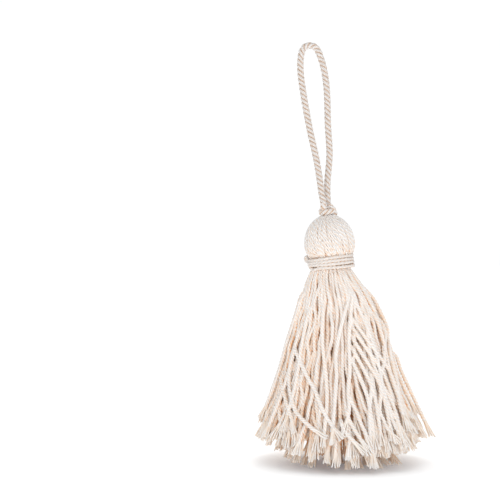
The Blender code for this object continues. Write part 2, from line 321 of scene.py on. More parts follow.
@dataclass(frozen=True)
class PaperFinish:
    """The pale studio ground, which glows a little itself as painted light, least of all under the
    tassel, where the dimmer glow is a painted shadow.

    Shadow_glow is its glow there, tinted cool, mid_glow just clear of it and far_glow far away.
    Shadow_reach and far are the distances from the middle over which the glow rises from each to
    the next, and shadow_oval stretches the ground along each axis first.
    """

    name: str
    colour: Triple = (0.93, 0.93, 0.93)
    shadow_glow: Triple = (0.085, 0.11, 0.135)
    mid_glow: float = 0.66
    far_glow: float = 0.82
    shadow_oval: Triple = (0.9, 1.0, 1.0)
    middle: Triple = (-0.001, -0.010, 0.0)
    shadow_reach: tuple[float, float] = (0.008, 0.054)
    far: tuple[float, float] = (0.08, 0.9)

    def material(self) -> Material:
        """Build the material, faintly clouded.

        Returns:
            The new material.
        """
        recipe = Recipe(self.name)
        place = recipe.node("ShaderNodeTexCoord", output="Object")
        darker = tuple(part * 0.99 for part in self.colour)
        stretched = {0: place, 1: self.shadow_oval}
        shadow_oval = recipe.node("ShaderNodeVectorMath", {"operation": "MULTIPLY"}, stretched)
        ends = {0: shadow_oval, 1: self.middle}
        away = recipe.node("ShaderNodeVectorMath", {"operation": "DISTANCE"}, ends, "Value")
        # The painted shadow under the tassel: the glow is least near the middle and rises across
        # shadow_reach
        share = away.ramp(*self.shadow_reach)
        rise = away.ramp(*self.far) * (self.far_glow - self.mid_glow)
        glow = {
            part: near + share * (self.mid_glow - near) + rise
            for part, near in enumerate(self.shadow_glow)
        }
        return recipe.finish(
            {
                "Base Color": recipe.mixed(recipe.noise(place, 3.0, 1.0), self.colour, darker),
                "Roughness": 0.9,
                "Emission Color": recipe.node("ShaderNodeCombineColor", None, glow),
                "Emission Strength": 1.0,
            }
        )


@dataclass(frozen=True)
class Twist:
    """How a tube's section is grooved between plies, turned along its length and given painted
    shade.

    Groove is a share of the radius, and pitch the length of a turn. Flank_shade is the painted
    shade on the side that faces its neighbours, which starts where the surface faces the open air
    by less than open_to and is full a span below.
    """

    plies: int = 6
    points: int = 2
    groove: float = 0.16
    pitch: float = 7.2 * MM
    lay: Lay = Lay.S
    flank_shade: float = 1.2
    open_to: float = 0.65
    span: float = 1.5

    @property
    def sides(self) -> int:
        """Count the points round the section."""
        return self.plies * self.points

    def section(self) -> tuple[Array, Array]:
        """Give each point's angle and its share of the radius.

        Returns:
            The angles round the yarn, and the share of the radius at each.
        """
        angle = TAU * np.arange(self.sides) / self.sides
        share = 1.0 - self.groove * (0.5 - 0.5 * np.cos(self.plies * angle))
        return angle, share


@dataclass
class FibreMesh:
    """Many tubes collected into one mesh, with what their finish reads."""

    LAY_MAP = "Lay"
    BAKE_MAP = "OFBake"
    # The length of yarn that fills a square cell of the bake map; the margins at a cell's sides
    # and ends, and the half width and height of the end faces, which lie in its end margins
    CELL = 5.0 * MM
    MARGIN = np.array((0.04, 0.08))
    END_FACE = (0.4, 0.03)

    name: str
    points: list[Array] = field(default_factory=list)
    quads: list[Array] = field(default_factory=list)
    caps: list[Array] = field(default_factory=list)
    tones: list[Array] = field(default_factory=list)
    painted_shades: list[Array] = field(default_factory=list)
    lays: list[Array] = field(default_factory=list)
    blocks: list[tuple[int, int]] = field(default_factory=list)
    count: int = 0

    @staticmethod
    def frames(paths: Array) -> tuple[Array, Array]:
        """Carry an even frame down each path.

        Args:
            paths: A k by n by 3 array of k paths of n points.

        Returns:
            The two directions across each path at each point.
        """
        along = unit(np.gradient(paths, axis=1))
        first = np.zeros_like(paths)
        guess = np.where(np.abs(along[:, :1, 1:2]) < 0.9, [0.0, 1.0, 0.0], [1.0, 0.0, 0.0])
        across = guess[:, 0] - along[:, 0] * (guess[:, 0] * along[:, 0]).sum(-1, keepdims=True)
        first[:, 0] = unit(across)
        for i in range(1, paths.shape[1]):
            across = first[:, i - 1]
            across = across - along[:, i] * (across * along[:, i]).sum(-1, keepdims=True)
            first[:, i] = unit(across)
        return first, np.cross(along, first)

    def tubes(
        self,
        paths: Array,
        radii: Array,
        twist: Twist,
        tones: Array,
        painted_shades: Array,
        outward: Array | None = None,
        start: Array | None = None,
    ) -> None:
        """Add a tube down each path.

        Args:
            paths: A k by n by 3 array of k centre lines.
            radii: Their radii, k by n.
            twist: The section that all of them share.
            tones: A random number for each tube.
            painted_shades: The share of painted shade at each point, k by n.
            outward: The way that faces the open air at each point; the far side gets painted shade.
            start: The turn that each tube starts at.
        """
        k, n, _ = paths.shape
        first, second = self.frames(paths)
        steps = np.linalg.norm(np.diff(paths, axis=1), axis=-1)
        run = np.concatenate([np.zeros((k, 1)), np.cumsum(steps, axis=1)], axis=1)
        turn = twist.lay.value * TAU * run / twist.pitch
        if start is not None:
            turn = turn + start[:, None]
        angle, share = twist.section()
        theta = turn[:, :, None] + angle
        way = (
            first[:, :, None, :] * np.cos(theta)[..., None]
            + second[:, :, None, :] * np.sin(theta)[..., None]
        )
        ring = paths[:, :, None, :] + way * (radii[:, :, None] * share)[..., None]
        # Painted shade: the stored share, and more on the sides that face away from the open air
        shade = np.broadcast_to(painted_shades[:, :, None], theta.shape)
        if outward is not None:
            facing = (way * outward[:, :, None, :]).sum(-1)
            shade = shade + twist.flank_shade * eased((twist.open_to - facing) / twist.span)
        s = twist.sides
        base = self.count + np.arange(k * n * s).reshape(k, n, s)
        ahead = np.roll(base, -1, axis=2)
        quads = np.stack([base[:, :-1], ahead[:, :-1], ahead[:, 1:], base[:, 1:]], axis=-1)
        self.quads.append(quads.reshape(-1, 4))
        self.caps.extend(base[:, 0, ::-1])
        self.caps.extend(base[:, -1])
        u, v = np.arange(s + 1) / s, run[:, :, None]
        pairs = ((u[:-1], v[:, :-1]), (u[1:], v[:, :-1]), (u[1:], v[:, 1:]), (u[:-1], v[:, 1:]))
        corners = np.stack([np.stack(np.broadcast_arrays(*pair), -1) for pair in pairs], axis=-2)
        self.lays.append(corners.reshape(-1, 2))
        self.points.append(ring.reshape(-1, 3))
        self.tones.append(np.repeat(tones, n * s))
        self.painted_shades.append(shade.reshape(-1))
        self.blocks.append((k, s))
        self.count += k * n * s

    def unrolled(self) -> Array:
        """Lay every tube out flat in a cell of its own, for the baked textures.

        Returns:
            A place from 0 to 1 for each corner of each face, the end faces last.
        """
        tubes = sum(k for k, _ in self.blocks)
        longest = max(lay[:, 1].max() for lay in self.lays)
        columns = int(np.clip(math.sqrt(tubes * longest / self.CELL), 1, tubes))
        rows = -(-tubes // columns)
        sides, ends, first = [], [], 0
        for (k, s), lay in zip(self.blocks, self.lays):
            cell = (first + np.arange(k))[:, None]
            corner = np.stack([cell % columns, cell // columns], axis=-1)
            flat = lay.reshape(k, -1, 2)
            flat = flat / np.stack([np.ones(k), flat[..., 1].max(axis=1)], axis=-1)[:, None]
            body = self.MARGIN + flat * (1.0 - 2.0 * self.MARGIN)
            sides.append((corner + body).reshape(-1, 2))
            turn = TAU * np.arange(s) / s
            wide, high = self.END_FACE
            bottom = self.MARGIN[1] / 2
            for way, level in ((turn[::-1], bottom), (turn, 1.0 - bottom)):
                disc = np.stack([0.5 + wide * np.cos(way), level + high * np.sin(way)], axis=-1)
                ends.append((corner + disc).reshape(-1, 2))
            first += k
        return np.concatenate(sides + ends) / (columns, rows)

    def piece(self, material: Material) -> Object:
        """Make the object, with the maps and numbers that its material reads.

        Args:
            material: The material of all its tubes.

        Returns:
            The new object, linked to the scene.
        """
        points = np.concatenate(self.points)
        quads = np.concatenate(self.quads)
        mesh = bpy.data.meshes.new(self.name)
        loops = np.concatenate([quads.reshape(-1), *self.caps])
        sizes = np.array([4] * len(quads) + [len(cap) for cap in self.caps])
        mesh.vertices.add(len(points))
        mesh.vertices.foreach_set("co", points.astype(np.float32).reshape(-1))
        mesh.loops.add(len(loops))
        mesh.loops.foreach_set("vertex_index", loops.astype(np.int32))
        mesh.polygons.add(len(sizes))
        starts = np.concatenate([[0], np.cumsum(sizes)[:-1]])
        mesh.polygons.foreach_set("loop_start", starts.astype(np.int32))
        mesh.polygons.foreach_set("use_smooth", np.ones(len(sizes), dtype=bool))
        mesh.update(calc_edges=True)
        lay = mesh.uv_layers.new(name=self.LAY_MAP)
        ends = np.zeros((len(loops) - 4 * len(quads), 2))
        bake = mesh.uv_layers.new(name=self.BAKE_MAP)
        for layer, places in ((lay, np.concatenate([*self.lays, ends])), (bake, self.unrolled())):
            layer.uv.foreach_set("vector", places.astype(np.float32).reshape(-1))
        for name, parts in (("tone", self.tones), ("painted_shade", self.painted_shades)):
            layer = mesh.attributes.new(name, "FLOAT", "POINT")
            layer.data.foreach_set("value", np.concatenate(parts).astype(np.float32))
        mesh.validate()
        mesh.materials.append(material)
        made = bpy.data.objects.new(self.name, mesh)
        bpy.context.scene.collection.objects.link(made)
        return made


@dataclass(frozen=True)
class Camera:
    """The photograph's view: level, a little over half a metre in front."""

    place: Triple = (-41.3 * MM, -550.0 * MM, 92.0 * MM)
    lens: float = 91.0
    sensor: float = 36.0

    def build(self) -> Object:
        """Make the camera and use it.

        Returns:
            The camera.
        """
        data = bpy.data.cameras.new("camera")
        data.lens = self.lens
        data.sensor_width = self.sensor
        data.clip_start, data.clip_end = 0.01, 20.0
        made = bpy.data.objects.new("camera", data)
        made.location = self.place
        made.rotation_euler = (math.pi / 2.0, 0.0, 0.0)
        bpy.context.scene.collection.objects.link(made)
        bpy.context.scene.camera = made
        return made


@dataclass(frozen=True)
class Lamp:
    """A soft round lamp that faces the tassel: its name, place, size and power."""

    AIM = (-0.005, 0.0, 0.08)

    name: str
    place: Triple
    size: float
    power: float

    def build(self) -> None:
        """Hang the lamp."""
        data = bpy.data.lights.new(self.name, "AREA")
        data.shape = "DISK"
        data.size = self.size
        data.energy = self.power
        made = bpy.data.objects.new(self.name, data)
        made.location = self.place
        aim = Vector(self.AIM) - Vector(self.place)
        made.rotation_euler = aim.to_track_quat("-Z", "Y").to_euler()
        bpy.context.scene.collection.objects.link(made)


@dataclass(frozen=True)
class Studio:
    """A pale ground under soft white light.

    Ring and dome are the strengths of the surroundings round the horizon and overhead, and edge is
    where the one turns into the other, as a share of the way up. Ground is half its width.
    """

    ground: float = 6.0
    ring: float = 1.02
    dome: float = 0.32
    edge: tuple[float, float] = (0.21, 0.33)
    lamps: tuple[Lamp, ...] = (
        Lamp("key_lamp", (0.12, -1.00, 0.62), 0.60, 1.65),
        Lamp("top_lamp", (0.05, -0.12, 1.0), 0.7, 1.9),
        Lamp("low_lamp", (-0.06, -0.72, 0.05), 0.30, 0.95),
    )

    def surround(self) -> None:
        """Make the surroundings: white round the horizon, dimmer overhead."""
        world = bpy.data.worlds.new("studio_surroundings")
        world.use_nodes = True
        tree = world.node_tree
        place = tree.nodes.new("ShaderNodeTexCoord")
        parts = tree.nodes.new("ShaderNodeSeparateXYZ")
        share = tree.nodes.new("ShaderNodeMapRange")
        share.interpolation_type = "SMOOTHSTEP"
        ends = ("From Min", "From Max", "To Min", "To Max")
        for key, value in zip(ends, (*self.edge, self.ring, self.dome)):
            share.inputs[key].default_value = value
        tree.links.new(place.outputs["Generated"], parts.inputs[0])
        tree.links.new(parts.outputs["Z"], share.inputs["Value"])
        tree.links.new(share.outputs[0], tree.nodes["Background"].inputs["Strength"])
        tree.nodes["Background"].inputs["Color"].default_value = (1.0, 1.0, 1.0, 1.0)
        bpy.context.scene.world = world

    def build(self) -> Object:
        """Make the ground, the lamps and the surroundings.

        Returns:
            The ground.
        """
        mesh = bpy.data.meshes.new("studio_ground")
        bm = bmesh.new()
        bmesh.ops.create_grid(bm, x_segments=8, y_segments=8, size=self.ground)
        bm.to_mesh(mesh)
        bm.free()
        mesh.materials.append(PaperFinish("studio_paper").material())
        ground = bpy.data.objects.new("studio_ground", mesh)
        bpy.context.scene.collection.objects.link(ground)
        self.surround()
        bpy.context.scene.view_settings.view_transform = "Standard"
        for lamp in self.lamps:
            lamp.build()
        return ground


@dataclass(frozen=True)
class HangingLoop:
    """The twisted three-ply cord, doubled, that stands up out of its knot.

    Route is its centre line in mm, and ply_share a ply's radius as a share of the cord's.
    """

    PLIES = 3

    diameter: float = 3.0 * MM
    pitch: float = 6.3 * MM
    ply_share: float = 0.54
    ply: Twist = Twist(7, 2, 0.05, 9.0 * MM, Lay.Z, flank_shade=1.6, open_to=0.85, span=0.9)
    route: tuple[Triple, ...] = (
        (-9.3, -1.35, 111.9), (-10.2, -1.3, 116.6), (-10.9, -1.3, 121.6), (-11.7, -1.1, 127.0),
        (-12.6, -0.8, 132.0), (-13.7, -0.5, 137.2), (-14.9, -0.2, 142.5), (-16.2, 0.0, 149.2),
        (-17.5, 0.1, 156.6), (-18.6, 0.1, 163.6), (-19.3, 0.0, 169.4), (-19.35, 0.0, 174.2),
        (-18.75, 0.0, 178.1), (-17.5, 0.0, 180.25), (-15.3, 0.0, 181.0), (-12.9, 0.0, 180.2),
        (-11.5, 0.0, 178.2), (-10.5, 0.0, 175.5), (-9.4, 0.0, 171.9), (-8.5, 0.1, 167.2),
        (-7.85, 0.2, 161.4), (-7.55, 0.4, 154.6), (-7.4, 0.5, 147.6), (-7.0, 0.7, 141.0),
        (-6.6, 0.9, 134.8), (-6.9, 1.1, 128.6), (-7.5, 1.25, 122.4), (-7.6, 1.3, 117.0),
        (-7.4, 1.35, 111.9),
    )

    def laid(self, mesh: FibreMesh, line: Array, rng: Random, tight: float = 1.0) -> None:
        """Lay the plies round a line.

        Args:
            mesh: The mesh to add them to.
            line: The cord's centre line.
            rng: The source of each ply's tone.
            tight: The share of its diameter that is left where it is pulled tight.
        """
        first, second = FibreMesh.frames(line[None])
        steps = np.linalg.norm(np.diff(line, axis=0), axis=1)
        run = np.concatenate([[0.0], np.cumsum(steps)])
        radius = self.diameter / 2 * tight
        ply = radius * self.ply_share
        turns = Lay.S.value * TAU * run / self.pitch
        turns = turns + TAU * np.arange(self.PLIES)[:, None] / self.PLIES
        outward = first * np.cos(turns)[..., None] + second * np.sin(turns)[..., None]
        paths = line + outward * (radius - ply)
        shape = paths.shape[:2]
        tones = rng.random(self.PLIES)
        mesh.tubes(paths, np.full(shape, ply), self.ply, tones, np.zeros(shape), outward)

    def build(self, finish: Material) -> Object:
        """Args:
            finish: The finish's material.

        Returns:
            The cord.
        """
        rng = np.random.default_rng(11)
        line = smooth_through(np.array(self.route) * MM, 420)
        mesh = FibreMesh("laid_cord_loop")
        self.laid(mesh, line, rng)
        loop = mesh.piece(finish)
        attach(loop, "root")
        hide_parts("hanging_loop")
        return loop


@dataclass(frozen=True)
class LoopKnot:
    """The overhand knot in the cord, sitting on the head, with its centre's height on the axis.

    Over is the strand that crosses in front. Legs gives, for each leg, the end of the route that it
    goes on from, and where it lies inside the knot and below it. All are in mm from the middle.
    """

    cord: HangingLoop
    centre: float = 109.3 * MM
    wrap_steps: int = 15
    wrap_reach: float = 2.35
    over: tuple[Triple, ...] = (
        (-0.9, 1.4, 1.5),
        (0.4, 0.6, 2.2),
        (1.5, -0.8, 1.8),
        (2.5, -1.1, 0.6),
        (3.1, -0.6, -0.9),
        (3.2, 0.2, -1.9),
        (2.5, 0.8, -2.8),
    )
    legs: tuple[tuple[int, Triple, Triple], ...] = (
        (0, (-0.9, -0.6, 0.6), (-0.7, 0.3, -2.4)),
        (-1, (1.0, 0.4, 0.6), (0.8, -0.4, -2.4)),
    )

    def wrap(self) -> Array:
        """Give the turn of cord that goes round the two legs.

        Returns:
            The points of its centre line, round the knot's own middle.
        """
        points = []
        for i in range(self.wrap_steps):
            angle = math.radians(-200.0 + 400.0 * i / (self.wrap_steps - 1))
            rise = 0.15 * math.cos(angle) + 0.25 * math.sin(angle) + 0.06 * (i - 7)
            reach = self.wrap_reach + 0.25 * math.cos(2.0 * angle)
            points.append((reach * math.cos(angle), reach * math.sin(angle), rise - 0.15))
        return np.array(points) * MM

    def build(self, finish: Material) -> Object:
        """Make the knot: the wrap, the strand that crosses it and the legs that dive into it.

        Args:
            finish: The finish's material.

        Returns:
            The knot.
        """
        rng = np.random.default_rng(12)
        mesh = FibreMesh("loop_knot_cord")
        middle = leaning(np.array([0.0, 0.0, self.centre]))
        wrap = leaning(self.wrap()) + middle
        self.cord.laid(mesh, smooth_through(wrap, 110), rng, 0.88)
        over = leaning(np.array(self.over) * MM) + middle
        self.cord.laid(mesh, smooth_through(over, 60), rng, 0.74)
        for end, inside, below in self.legs:
            start = np.array(self.cord.route[end]) * MM + np.array([(0, 0, 0.2), (0, 0, -1.4)]) * MM
            leg = np.concatenate([start, middle + np.array([inside, below]) * MM])
            self.cord.laid(mesh, smooth_through(leg, 36), rng)
        knot = mesh.piece(finish)
        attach(knot, "root")
        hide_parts("loop_knot")
        return knot


@dataclass(frozen=True)
class NeckBinding:
    """Level turns of yarn wound round the neck, and the small knot that ends them.

    Bottom and knot_height are heights along the leaning axis, and tilt is how far the turns lie out
    of level. Crossover is the share of a turn in which the yarn climbs to the next. Sway and swell
    say in mm how unevenly the turns rise and reach outwards.
    """

    turns: int = 4
    bottom: float = 83.85 * MM
    radius: float = 9.3 * MM
    yarn: float = 1.55 * MM
    tilt: float = math.radians(1.5)
    crossover: float = 1.0 / 6.0
    sway: float = 0.07
    swell: float = 0.09
    knot_radius: float = 1.6 * MM
    knot_height: float = 88.2 * MM
    knot_angle: float = math.radians(156.0)
    twist: Twist = Twist(3, 4, 0.22, 5.4 * MM, flank_shade=1.3, open_to=0.8, span=1.0)

    def coil(self, rng: Random) -> Array:
        """Give the yarn's centre line, a little uneven as a hand winds it.

        Args:
            rng: The source of its unevenness.

        Returns:
            The points of its centre line.
        """
        pitch = self.yarn - 0.03 * MM
        height = (self.turns - 1) * pitch + self.yarn
        at = np.linspace(0.0, self.turns - 1.2 * self.crossover, 620)
        turn, share = np.floor(at), at % 1.0
        row = turn + eased((share - 1.0 + self.crossover) / self.crossover)
        angle = TAU * share + math.pi / 2.0
        sway = np.interp(at, np.linspace(0, self.turns, 25), rng.normal(0.0, self.sway, 25) * MM)
        swell = np.interp(at, np.linspace(0, self.turns, 31), rng.normal(0.0, self.swell, 31) * MM)
        # At the left the rows bunch and curl down, at the right the lower ones stand out
        left = ((1.0 + np.cos(angle - math.radians(190.0))) / 2.0) ** 2
        corner = np.exp(-(((angle % TAU) - math.radians(212.0)) / math.radians(15.0)) ** 2)
        bunch = 0.55 * MM * (row - 1.3) * left + 0.8 * MM * corner * np.clip(1.0 - row, 0.0, 1.0)
        right = np.clip(np.cos(angle), 0.0, 1.0) ** 2 * np.clip(2.4 - row, 0.0, 1.0)
        reach = self.radius - 0.08 * MM + swell + 0.3 * MM * left * np.sin(math.pi * row / 3.0)
        reach = reach + 0.25 * MM * right
        rise = pitch * row + (self.yarn - height) / 2 + sway - bunch
        points = np.stack([reach * np.cos(angle), reach * np.sin(angle), rise], axis=1)
        turned = points @ np.array(Matrix.Rotation(-self.tilt, 3, "Y")).T
        return leaning(turned + [0.0, 0.0, self.bottom + height / 2])

    def tangle(self, centre: Array) -> Array:
        """Give the knot's centre line: rings of yarn, each turned a little from the last.

        Args:
            centre: The knot's middle.

        Returns:
            The points of its centre line.
        """
        at = np.arange(46)
        turn, slip = TAU * at / 14.0, math.pi * at / 45.0
        ring = [np.cos(turn) * np.cos(slip), np.cos(turn) * np.sin(slip), 1.1 * np.sin(turn)]
        return smooth_through(centre + 0.94 * MM * np.stack(ring, axis=1), 150)

    def wound(
        self, name: str, line: Array, radius: float, outward: Array, rng: Random
    ) -> FibreMesh:
        """Lay the yarn along a line.

        Args:
            name: The mesh's name.
            line: The centre line.
            radius: The yarn's radius.
            outward: The way that faces the open air at each point.
            rng: The source of the yarn's tone.

        Returns:
            The mesh.
        """
        mesh = FibreMesh(name)
        radii = np.full((1, len(line)), radius)
        tone = rng.random(1)
        mesh.tubes(line[None], radii, self.twist, tone, np.zeros(radii.shape), outward[None])
        return mesh

    def build(self, finish: Material) -> list[Object]:
        """Make the coil and its knot.

        Args:
            finish: The finish's material.

        Returns:
            The coil and the knot.
        """
        rng = np.random.default_rng(14)
        line = self.coil(rng)
        axis = leaning(np.array([0.0, 0.0, 1.0]))
        outward = unit(line - (line @ axis)[..., None] * axis)
        thick = self.yarn / 2 + 0.03 * MM
        coil = self.wound("wound_neck_yarn", line, thick, outward, rng).piece(finish)
        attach(coil, "root")
        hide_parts("neck_binding")

        away = self.radius + self.yarn / 2 + self.knot_radius * 0.55
        side = np.array([math.cos(self.knot_angle), math.sin(self.knot_angle), 0.0])
        centre = leaning(np.array([0.0, 0.0, self.knot_height])) + side * away
        line = self.tangle(centre)
        knot = self.wound("neck_yarn_knot", line, 0.70 * MM, unit(line - centre), rng).piece(finish)
        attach(knot, "root")
        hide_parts("binding_knot")
        return [coil, knot]


@dataclass(frozen=True)
class SkirtForm:
    """The outline that the skirt's yarns fill.

    Attributes:
        sections: Its (height, half width, half depth, centre's x) in mm, from the top down.
        offset: How far the yarns' feet are moved in x and y, to stand over the origin.
    """

    sections: tuple[tuple[float, float, float, float], ...] = (
        (92.0, 6.6, 6.4, -6.5),
        (86.0, 7.6, 7.4, -6.2),
        (79.5, 11.8, 11.4, -5.2),
        (74.5, 14.9, 14.2, -4.2),
        (66.0, 18.4, 17.2, -3.1),
        (52.0, 23.0, 21.0, -2.8),
        (38.0, 27.1, 24.8, -2.7),
        (24.0, 32.8, 29.8, -2.0),
        (12.0, 38.0, 34.2, -1.4),
        (0.0, 42.3, 37.8, -1.1),
    )
    offset: tuple[float, float] = (-0.31 * MM, 0.54 * MM)

    def at(self, heights: Array) -> tuple[Array, Array, Array]:
        """Read the half width, half depth and centre's x at heights in metres.

        Args:
            heights: The heights, in an array of any shape.

        Returns:
            Three arrays of that shape.
        """
        table = np.array(self.sections)[::-1] * MM
        knots = table[:, 0]
        low = np.clip(np.searchsorted(knots, heights) - 1, 0, len(knots) - 2)
        slopes = np.gradient(table[:, 1:], knots, axis=0)
        span = (knots[low + 1] - knots[low])[..., None]
        t = ((heights - knots[low])[..., None]) / span
        a, b = table[low, 1:], table[low + 1, 1:]
        m, n = slopes[low] * span, slopes[low + 1] * span
        read = (
            a * (2 * t**3 - 3 * t**2 + 1)
            + m * (t**3 - 2 * t**2 + t)
            + b * (3 * t**2 - 2 * t**3)
            + n * (t**3 - t**2)
        )
        return read[..., 0], read[..., 1], read[..., 2]

    def outward(self, paths: Array) -> Array:
        """Give the way that faces the open air at each point of some paths.

        Args:
            paths: Points in any array that ends in x, y and z.

        Returns:
            A direction for each point, across the axis.
        """
        half_width, half_depth, centre = self.at(paths[..., 2])
        x, y = (paths[..., 0] - centre) / half_width**2, paths[..., 1] / half_depth**2
        return unit(np.stack([x, y, np.zeros(x.shape)], axis=-1))


@dataclass(frozen=True)
class Band:
    """Yarns that hang at one depth in the skirt.

    Attributes:
        name: The name of the mesh.
        count: How many yarns it holds.
        layers: How many yarns deep below the outline they hang, one after another.
        steps: How many points each yarn's path is read at.
        twist: The section of its yarns.
    """

    name: str
    count: int
    layers: tuple[float, ...]
    steps: int
    twist: Twist


@dataclass(frozen=True)
class StrayYarns:
    """Yarns that lie over the others: some as the photograph shows them, some round the rest.

    Attributes:
        seen: For each yarn in front, the (x, z) in mm at which it is seen in the axis' own plane.
        count: How many more there are round the sides and back.
        steps: How many points each yarn's path is read at.
        twist: The section of the yarns.
        dive: How deep the upper end of each starts between the others.
    """

    name: str = "skirt_yarns_stray"
    seen: tuple[tuple[tuple[float, float], ...], ...] = (
        ((-22.2, 54.7), (-21.3, 48.6), (-18.2, 41.3), (-15.2, 35.2), (-12.7, 30.9), (-10.9, 26.0),
         (-8.4, 20.5), (-5.4, 15.7), (-3.0, 12.6)),
        ((-23.5, 43.3), (-24.0, 37.0), (-23.7, 30.9), (-21.8, 23.3), (-18.9, 19.0), (-14.4, 14.7),
         (-12.1, 13.1)),
        ((3.0, 78.5), (3.3, 70.2), (2.6, 61.5), (2.1, 52.9), (2.3, 45.9), (2.4, 38.9), (1.7, 30.2),
         (2.2, 22.4), (0.9, 16.3)),
        ((3.1, 76.3), (2.2, 71.1), (0.7, 66.3), (-0.8, 60.8), (-2.7, 52.2), (-3.6, 44.9),
         (-3.3, 37.2), (-3.9, 28.5), (-4.5, 20.0), (-5.0, 13.0)),
        ((2.6, 65.0), (5.2, 59.8), (8.7, 54.6), (12.6, 49.4), (16.5, 44.1), (19.6, 39.4),
         (21.8, 33.7), (24.0, 26.0), (26.0, 18.0)),
        ((2.6, 60.7), (5.7, 55.0), (9.1, 49.8), (12.6, 45.0), (16.1, 39.8), (18.7, 34.1),
         (21.0, 26.0), (23.0, 17.0)),
        ((2.6, 56.3), (5.2, 51.1), (8.3, 45.9), (11.3, 41.1), (14.4, 35.9), (16.5, 30.2),
         (18.5, 22.0), (20.0, 14.0)),
        ((2.4, 51.5), (4.8, 46.8), (7.4, 42.0), (10.0, 36.8), (12.2, 31.5), (13.5, 26.8),
         (15.0, 18.0), (16.0, 11.0)),
        ((2.4, 46.8), (4.3, 42.0), (6.5, 37.2), (8.7, 32.0), (10.4, 26.8), (12.0, 18.0),
         (13.0, 10.0)),
        ((17.0, 60.7), (17.8, 53.5), (17.2, 48.6), (17.5, 43.7), (15.7, 36.3), (15.9, 29.4),
         (15.4, 22.2), (17.1, 18.0), (18.7, 14.3), (21.0, 11.4)),
        ((18.7, 57.2), (19.5, 51.2), (20.1, 45.9), (21.4, 41.2), (22.8, 36.2), (23.1, 30.2),
         (24.4, 23.3), (26.5, 18.0)),
        ((12.2, 38.9), (11.7, 29.7), (10.9, 20.5), (11.2, 14.3), (11.7, 8.0), (12.5, 2.8)),
        ((2.0, 29.4), (3.7, 24.9), (5.4, 21.4), (6.9, 17.4), (8.7, 13.4), (10.0, 10.1)),
        ((0.7, 23.3), (1.9, 18.8), (4.2, 14.3), (6.3, 10.9), (8.3, 7.6)),
        ((-1.7, 18.0), (0.0, 13.4), (2.7, 10.1), (5.4, 7.4)),
        ((18.3, 27.6), (20.0, 22.6), (22.5, 18.4), (24.4, 15.1), (25.8, 12.2)),
        ((-27.8, 38.9), (-26.8, 32.0), (-25.2, 25.9), (-23.2, 19.4), (-22.4, 15.9)),
        ((9.1, 77.2), (11.6, 73.6), (14.7, 67.5), (17.6, 61.4), (19.0, 57.5), (19.1, 53.9),
         (19.9, 47.6), (21.9, 38.0), (24.4, 28.0), (27.0, 19.0)),
        ((21.3, 49.4), (23.3, 44.5), (25.2, 38.8), (28.3, 32.0), (31.9, 24.3), (34.9, 18.0),
         (35.9, 15.9)),
    )
    count: int = 20
    steps: int = 112
    twist: Twist = Twist(3, 4, 0.30, 4.5 * MM, flank_shade=0.45)
    dive: float = 1.9 * MM

    def on_front(self, seen: Array, form: SkirtForm, radius: float) -> Array:
        """Lay points that are seen from the photograph's place on the skirt's front.

        Args:
            seen: Their (x, z), n by 2, where the view crosses the axis' plane.
            form: The skirt's outline.
            radius: How far inside it the yarn's centre lies.

        Returns:
            The points, n by 3.
        """
        eye = np.array(Camera.place)
        flat = np.stack([seen[:, 0], np.zeros(len(seen)), seen[:, 1]], axis=1)
        points = flat.copy()
        for _ in range(6):
            half_width, half_depth, centre = form.at(points[:, 2])
            across = (points[:, 0] - centre) / (half_width - radius)
            y = -(half_depth - radius) * np.sqrt(np.clip(1.0 - across**2, 0.0, 1.0))
            points = eye + (flat - eye) * ((y - eye[1]) / -eye[1])[:, None]
        return points

    def routes(self, form: SkirtForm, levels: int, yarn: float, rng: Random) -> Array:
        """Route every stray.

        Args:
            form: The skirt's outline.
            levels: How many points to give for each.
            yarn: A yarn's diameter.
            rng: The source of what is uneven.

        Returns:
            The centre lines, k by levels by 3.
        """
        lines, down = [], np.linspace(0.0, 1.0, levels)
        for points in self.seen:
            line = self.on_front(np.array(points) * MM, form, yarn * 0.42)
            line = smooth_through(line, levels)
            dive = eased(1.0 - down * 7.0) * self.dive
            middle = np.array([form.at(line[:, 2])[2], np.zeros(levels), line[:, 2]]).T
            lines.append(line - unit(line - middle) * dive[:, None])
        for i in range(self.count):
            angle = math.radians(20.0 + 320.0 * (i + rng.uniform(0.0, 0.9)) / self.count)
            angle = angle - math.pi / 2
            top = rng.uniform(50.0, 83.0) * MM
            foot = (rng.uniform(7.0, 17.0) + 8.0 * abs(math.cos(angle)) ** 1.3) * MM
            heights = top + (foot - top) * down
            drift = rng.normal(0.0, 0.20)
            sway = rng.normal(0.0, 0.05)
            turn = angle + drift * down + sway * np.sin(rng.uniform(0.0, ANY_PHASE) + 7.0 * down)
            half_width, half_depth, centre = form.at(heights)
            dive = yarn * 0.45 + eased(1.0 - down * 7.0) * self.dive
            x = centre + (half_width - dive) * np.cos(turn)
            lines.append(np.stack([x, (half_depth - dive) * np.sin(turn), heights], axis=1))
        return np.stack(lines)


